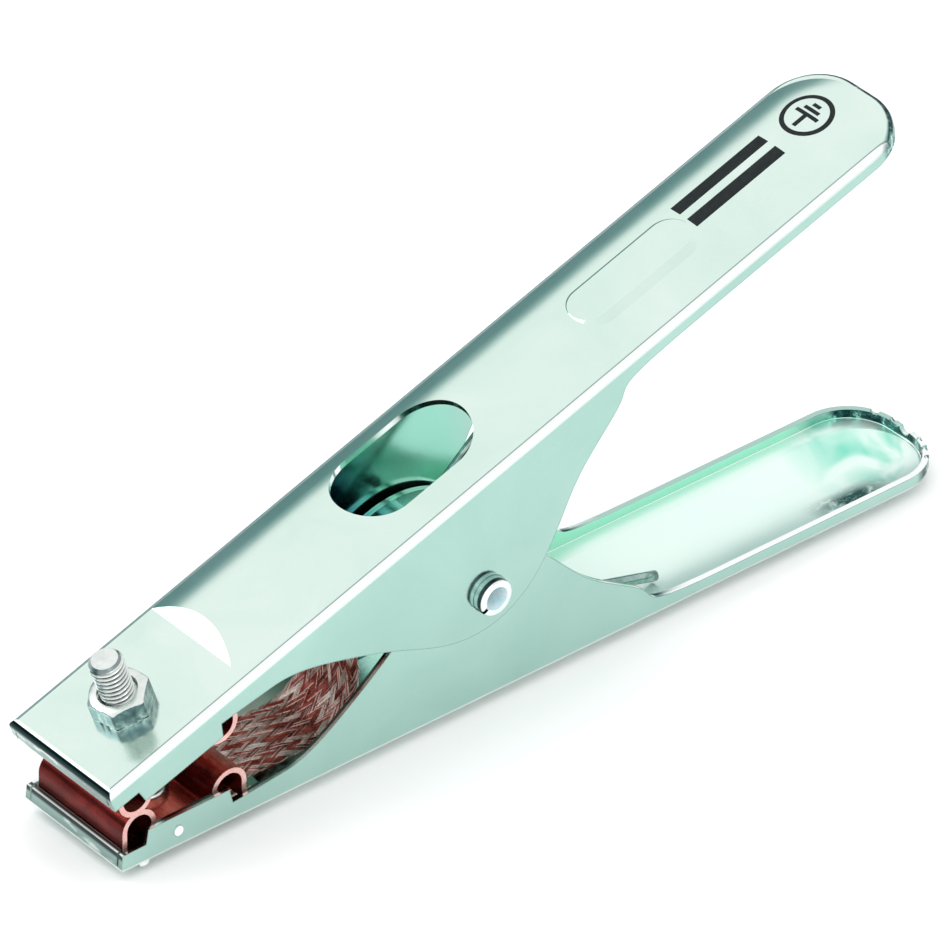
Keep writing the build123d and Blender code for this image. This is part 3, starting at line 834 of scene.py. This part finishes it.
def turned_piece(name, levels, material, body, node):
    """Closed solid skinned over rings round the fastener's axis; heights run out from the web."""
    vertices = []
    faces = []
    for height, radius in levels:
        for step in range(TURN_STEPS):
            angle = 2 * math.pi * step / TURN_STEPS
            reach = radius(angle)
            vertices.append(upper_point(FASTENER_X + reach / MM * math.cos(angle),
                                        reach / MM * math.sin(angle), -height / MM))
    rings = len(levels)
    closed = levels[0] is levels[-1]
    for ring in range(rings - 1):
        for step in range(TURN_STEPS):
            a = ring * TURN_STEPS + step
            b = ring * TURN_STEPS + (step + 1) % TURN_STEPS
            faces.append((a, b, b + TURN_STEPS, a + TURN_STEPS))
    if closed:
        last = (rings - 1) * TURN_STEPS
        vertices = vertices[:last]
        faces = [tuple(i - last if i >= last else i for i in face) for face in faces]
    else:
        faces.append(tuple(range(TURN_STEPS - 1, -1, -1)))
        faces.append(tuple((rings - 1) * TURN_STEPS + step for step in range(TURN_STEPS)))
    piece = make_object(name, vertices, faces, material)
    crease(piece, CREASE_ANGLE)
    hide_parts(node)
    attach(piece, body)


def crease(piece, degrees):
    """Keep smooth shading off the edges sharper than this."""
    mesh = bmesh.new()
    mesh.from_mesh(piece.data)
    bmesh.ops.recalc_face_normals(mesh, faces=mesh.faces)
    limit = math.radians(degrees)
    for edge in mesh.edges:
        if len(edge.link_faces) == 2 and edge.calc_face_angle(0.0) > limit:
            edge.smooth = False
    mesh.to_mesh(piece.data)
    mesh.free()


def constant(radius):
    """A ring's radius that is the same all round."""
    return lambda angle: radius


def build_fasteners():
    """Terminal bolt with a real thread, and its nut."""
    head = [(-h, r) for h, r in hexagon_levels(HEAD_SEAT, HEAD_SEAT + HEAD_HEIGHT, 0.0)]
    bolt = head[::-1]
    bolt += [(-HEAD_SEAT + 0.01 * MM, constant(SHANK_RADIUS)), (NUT_HEIGHT - 0.9 * MM, constant(SHANK_RADIUS))]
    bolt += thread_levels(NUT_HEIGHT - 0.85 * MM, STUD_TIP)
    turned_piece("terminal_bolt_threaded", bolt, STUD, "upper", "terminal_bolt")
    outer = hexagon_levels(NUT_GAP, NUT_HEIGHT, NUT_TURN)
    sunk = [(NUT_HEIGHT, constant(NUT_SINK)), (NUT_HEIGHT - 0.8 * MM, constant(STUD_RADIUS)),
            (NUT_HEIGHT - 0.95 * MM, constant(NUT_BORE)), (0.6 * MM, constant(NUT_BORE)),
            (NUT_GAP, constant(NUT_FLARE))]
    nut = outer + sunk
    nut.append(nut[0])
    turned_piece("terminal_nut_hexagon", nut, STUD, "upper", "terminal_nut")


build_fasteners()


# ---------------------------------------------------------------- printed mark

MARK_LIFT = 0.03 * MM
MARK_STEP = 0.6                      # mm between the points laid on the crown


def crown_surface():
    """Function that drops a point onto the upper lever's outside, from its place along and across it."""
    mesh = NODES["upper_lever"].data
    tree = BVHTree.FromPolygons([v.co for v in mesh.vertices], [p.vertices for p in mesh.polygons])
    inward = upper_point(0, 0, 1) - upper_point(0, 0, 0)

    def drop(x, y):
        """The point of the sheet's outside over (x, y), lifted by the ink's thickness."""
        hit = tree.ray_cast(upper_point(x, y, -20), inward.normalized())[0]
        return hit - inward.normalized() * MARK_LIFT

    return drop


def ink_band(drop, centre, inner, outer):
    """Ring of ink between two radii."""
    columns = round(2 * math.pi * outer / MARK_STEP)
    rows = max(1, round((outer - inner) / MARK_STEP))
    vertices = []
    for row in range(rows + 1):
        radius = inner + (outer - inner) * row / rows
        for column in range(columns + 1):
            angle = 2 * math.pi * column / columns
            vertices.append(drop(centre[0] + radius * math.cos(angle), centre[1] + radius * math.sin(angle)))
    return vertices, grid_faces(rows, columns)


def ink_bar(drop, low, high):
    """Rectangle of ink from one corner to the other, in x and y on the lever."""
    columns = max(2, round((high[0] - low[0]) / MARK_STEP))
    rows = max(1, round((high[1] - low[1]) / MARK_STEP))
    vertices = []
    for row in range(rows + 1):
        y = low[1] + (high[1] - low[1]) * row / rows
        for column in range(columns + 1):
            vertices.append(drop(low[0] + (high[0] - low[0]) * column / columns, y))
    return vertices, grid_faces(rows, columns)


def grid_faces(rows, columns):
    """Faces of a grid of points stored row by row."""
    width = columns + 1
    faces = []
    for row in range(rows):
        for column in range(columns):
            a = row * width + column
            faces.append((a, a + 1, a + 1 + width, a + width))
    return faces


MARK_SIDE = 2.5                      # mm from the lever's middle
RING_X = 231.0
RING = (5.3, 6.5)                    # inner and outer radius, mm
STEM = (-4.2, -0.5)                  # along the lever from the ring's middle
STEM_HALF = 0.6
BAR_HALVES = (3.6, 2.4, 1.2)         # half lengths of the three bars
BAR_STEP = 1.6
BAR_THICK = 1.0
PLAIN_BAR_X = (192.5, 220.0)
PLAIN_BAR_Y = (-4.6, 1.2)            # where each plain bar starts across the lever
PLAIN_BAR_THICK = 3.4


def build_mark():
    """The usual earth sign, a stem over three shrinking bars in a ring, with two plain bars beside it."""
    drop = crown_surface()
    patches = [ink_band(drop, (RING_X, MARK_SIDE), *RING)]
    bars = [((RING_X + STEM[0], -STEM_HALF), (RING_X + STEM[1], STEM_HALF))]
    for index, half in enumerate(BAR_HALVES):
        x = RING_X + STEM[1] + BAR_STEP * index
        bars.append(((x, -half), (x + BAR_THICK, half)))
    for y in PLAIN_BAR_Y:
        bars.append(((PLAIN_BAR_X[0], y), (PLAIN_BAR_X[1], y + PLAIN_BAR_THICK)))
    for low, high in bars:
        patches.append(ink_bar(drop, (low[0], low[1] + MARK_SIDE), (high[0], high[1] + MARK_SIDE)))
    vertices = []
    faces = []
    for patch_vertices, patch_faces in patches:
        base = len(vertices)
        vertices.extend(patch_vertices)
        faces.extend(tuple(i + base for i in face) for face in patch_faces)
    mark = make_object("printed_earth_sign", vertices, faces, INK)
    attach(mark, "upper")


build_mark()


# ---------------------------------------------------------------- CAD pieces that stay

FINISHES = {
    "lower_lever": LOWER_ZINC,
    "upper_lever": UPPER_ZINC,
    "lower_jaw": COPPER,
    "upper_jaw": COPPER,
    "lower_braid_ferrule": COPPER,
    "upper_braid_ferrule": COPPER,
    "terminal_bolt": BRIGHT,
    "terminal_nut": BRIGHT,
    "lower_jaw_rivet": BRIGHT,
    "pivot_sleeve": SLEEVE,
    "torsion_spring": WIRE,
    "braid_loop": BARE_STRAND,
}
for node_name, material in FINISHES.items():
    mesh = NODES[node_name].data
    mesh.materials.clear()
    mesh.materials.append(material)


# ---------------------------------------------------------------- studio


def area_light(name, place, aim, size, power):
    """Soft rectangular lamp that the camera doesn't see."""
    data = bpy.data.lights.new(name, "AREA")
    data.shape = "RECTANGLE"
    data.size, data.size_y = size
    data.energy = power
    lamp = bpy.data.objects.new(name, data)
    lamp.location = place
    lamp.rotation_euler = (Vector(aim) - Vector(place)).to_track_quat("-Z", "Y").to_euler()
    lamp.visible_camera = False
    bpy.context.scene.collection.objects.link(lamp)
    return lamp


SKY_SLOPE = -0.42                    # how fast the dim band rises towards the far side
SKY_BAND = (-0.02, 0.24)
SKY_TONES = ((0.0, (0.15, 0.26, 0.27)), (0.40, (0.24, 0.38, 0.38)), (0.80, (0.95, 0.97, 0.96)),
             (1.0, (1, 1, 1)))


def build_sky():
    """Even pale sky that falls to a dim band low down on the far side, so that bright metal has contrast."""
    world = bpy.data.worlds.new("studio_air")
    bpy.context.scene.world = world
    world.use_nodes = True
    tree = world.node_tree
    place = tree.nodes.new("ShaderNodeTexCoord")
    split = tree.nodes.new("ShaderNodeSeparateXYZ")
    lift = tree.nodes.new("ShaderNodeMath")
    lift.operation = "MULTIPLY_ADD"
    lift.inputs[1].default_value = SKY_SLOPE
    level = tree.nodes.new("ShaderNodeMapRange")
    level.inputs["From Min"].default_value = SKY_BAND[0]
    level.inputs["From Max"].default_value = SKY_BAND[1]
    ramp = tree.nodes.new("ShaderNodeValToRGB")
    tree.links.new(place.outputs["Generated"], split.inputs[0])
    tree.links.new(split.outputs["Y"], lift.inputs[0])
    tree.links.new(split.outputs["Z"], lift.inputs[2])
    tree.links.new(lift.outputs[0], level.inputs["Value"])
    tree.links.new(level.outputs["Result"], ramp.inputs["Fac"])
    while len(ramp.color_ramp.elements) < len(SKY_TONES):
        ramp.color_ramp.elements.new(0.5)
    for element, (position, colour) in zip(ramp.color_ramp.elements, SKY_TONES):
        element.position = position
        element.color = (*colour, 1)
    background = tree.nodes["Background"]
    background.inputs["Strength"].default_value = 1.0
    tree.links.new(ramp.outputs["Color"], background.inputs["Color"])


FLOOR_HALF = 6.0
FLOOR_GAP = 0.0002                   # so that no face of the clamp lies in the floor's own plane


def build_studio():
    """Floor, sky and three soft lamps; the overhead one lights the floor and isn't seen in the metal."""
    corners = [(x * FLOOR_HALF, y * FLOOR_HALF, 0) for x, y in ((-1, -1), (1, -1), (1, 1), (-1, 1))]
    floor = make_object("studio_floor", corners, [(0, 1, 2, 3)], floor_material("pale_floor"))
    floor.location = (0, 0, CAD_BOX[0].z - FLOOR_GAP)
    build_sky()
    area_light("key_softbox", (-1.3, 1.3, 1.5), (0, 0, 0), (1.4, 1.4), 12)
    area_light("near_softbox", (-0.5, -1.8, 0.9), (0, 0, 0), (1.8, 0.8), 5)
    wash = area_light("floor_wash", (0, 0, 2.4), (0, 0, 0), (3.0, 3.0), 30)
    wash.visible_glossy = False


AZIMUTH = math.radians(-40.57)
ELEVATION = math.radians(35.19)
ROLL = math.radians(1.04)
AIM_RIGHT = 7.79 * MM                # the picture's centre, from the pivot, along the picture
AIM_UP = 18.82 * MM
DISTANCE = 2.3138
SENSOR = 36.0
FOCAL_SHARE = 10.932                 # focal length over picture width


def build_camera():
    """Camera on the clamp's near side, a little above it and towards the nose."""
    back = Vector((math.sin(AZIMUTH) * math.cos(ELEVATION), -math.cos(AZIMUTH) * math.cos(ELEVATION),
                   math.sin(ELEVATION)))
    level = back.to_track_quat("Z", "Y").to_matrix()
    turned = level @ Matrix.Rotation(ROLL, 3, "Z")
    right, up = turned.col[0], turned.col[1]
    data = bpy.data.cameras.new("photo_camera")
    data.sensor_width = SENSOR
    data.lens = FOCAL_SHARE * SENSOR
    data.clip_start, data.clip_end = 0.1, 20
    camera = bpy.data.objects.new("photo_camera", data)
    camera.rotation_mode = "QUATERNION"
    camera.rotation_quaternion = turned.to_quaternion()
    camera.location = right * AIM_RIGHT + up * AIM_UP + back * DISTANCE
    bpy.context.scene.collection.objects.link(camera)
    bpy.context.scene.camera = camera


build_studio()
build_camera()
bpy.context.scene.view_settings.view_transform = "Standard"
